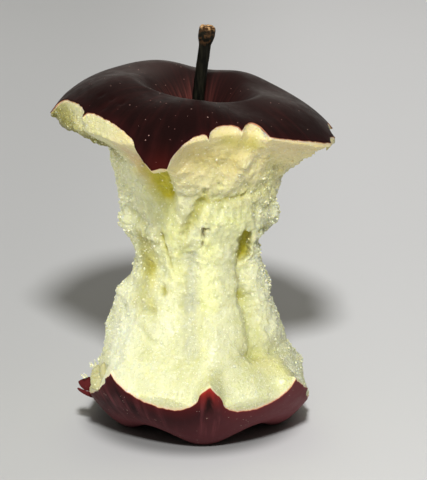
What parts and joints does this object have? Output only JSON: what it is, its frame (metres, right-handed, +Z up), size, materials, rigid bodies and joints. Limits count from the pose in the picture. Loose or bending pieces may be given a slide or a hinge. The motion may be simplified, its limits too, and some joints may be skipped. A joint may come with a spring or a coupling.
{
  "type": "apple core",
  "caption": "Apple eaten down to its core, standing upright: bitten waist of pale flesh, skin left on the crown and on the lobed base, and a leaning stalk.",
  "frame": {"origin": "under the middle of the bounding box, on the surface the core stands on", "axes": "+Z up along the core, from its base to its stalk; -Y towards the side with the long tooth of crown skin; the crown leans down towards +X"},
  "size_m": [0.066, 0.066, 0.0954],
  "materials": {
    "flesh": "moist, grainy pale yellow flesh",
    "skin": "glossy, near-black dark red skin with tiny pale spots",
    "stalk": "dark bark, satin",
    "calyx": "dry brown leaf tips, matt"
  },
  "bodies": {
    "root": {"apple_core": "flesh", "stalk": "stalk", "calyx": "calyx"}
  },
  "joints": []
}
